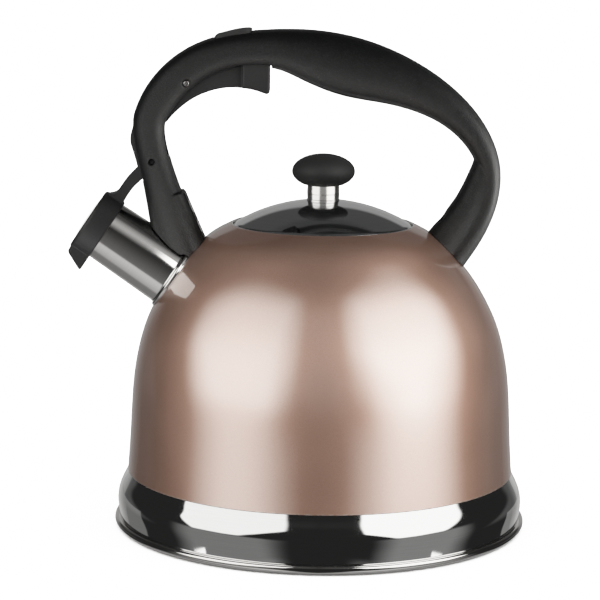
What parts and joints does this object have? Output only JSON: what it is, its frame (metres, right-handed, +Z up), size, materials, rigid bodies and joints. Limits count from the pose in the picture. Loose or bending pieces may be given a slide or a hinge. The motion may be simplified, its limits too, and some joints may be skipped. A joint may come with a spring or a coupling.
{
  "type": "whistling kettle",
  "caption": "Domed stovetop kettle with polished foot band and lid, fixed arch handle, and a trigger that swings a whistling cap off the spout.",
  "frame": {"origin": "centre of the base plate's lower face, on the vessel axis", "axes": "+Z up along the vessel axis, -X towards the spout, Y across the handle"},
  "size_m": [0.2444, 0.22, 0.2643],
  "materials": {
    "rose_paint": "metallic gloss paint",
    "polished_steel": "mirror polished stainless steel",
    "satin_steel": "satin stainless steel",
    "aluminium_core": "mill finish",
    "black_coat": "black coated steel",
    "black_handle": "fine grained black plastic",
    "black_pad": "soft touch black plastic",
    "black_knob": "matte black plastic",
    "spring_steel": "drawn spring wire",
    "silicone": "silicone"
  },
  "bodies": {
    "kettle": {"body_shell": "rose_paint", "lower_band": "polished_steel", "bottom_pan": "polished_steel", "heat_spreader": "aluminium_core", "base_plate": "satin_steel", "lid_seat_ring": "satin_steel", "spout_tube": "polished_steel", "spout_collar": "polished_steel", "front_bracket": "black_coat", "front_bracket_screws": "satin_steel", "rear_bracket": "black_coat", "rear_bracket_screw": "satin_steel", "handle": "black_handle", "thumb_pad": "black_pad", "trigger_pin": "satin_steel", "cap_pin": "black_coat", "return_spring": "spring_steel"},
    "trigger": {"trigger_lever": "black_handle"},
    "cap": {"spout_cap": "black_handle", "whistle_face": "polished_steel", "whistle_disc": "satin_steel", "cap_seal": "silicone"},
    "lid": {"lid_shell": "polished_steel", "lid_skirt": "satin_steel", "knob_sleeve": "polished_steel", "knob": "black_knob", "knob_screw": "satin_steel", "knob_washer": "satin_steel"}
  },
  "joints": [
    {"name": "trigger_squeeze", "type": "hinge", "parent": "kettle", "child": "trigger", "pos_m": [-0.0722, 0, 0.2355], "axis": [0, -1, 0], "range_deg": [0, 10], "stiffness_Nm_per_rad": 0.3, "springref_deg": -8.59, "deforming": ["return_spring"]},
    {"name": "cap_swing", "type": "hinge", "parent": "kettle", "child": "cap", "pos_m": [-0.0902, 0, 0.1943], "axis": [0, 1, 0], "range_deg": [0, 26]},
    {"name": "lid_lift", "type": "slide", "parent": "kettle", "child": "lid", "axis": [0, 0, 1], "range_m": [0, 0.026]}
  ],
  "couplings": [
    {"joint": "cap_swing", "follows": "trigger_squeeze", "ratio": 2.6}
  ]
}
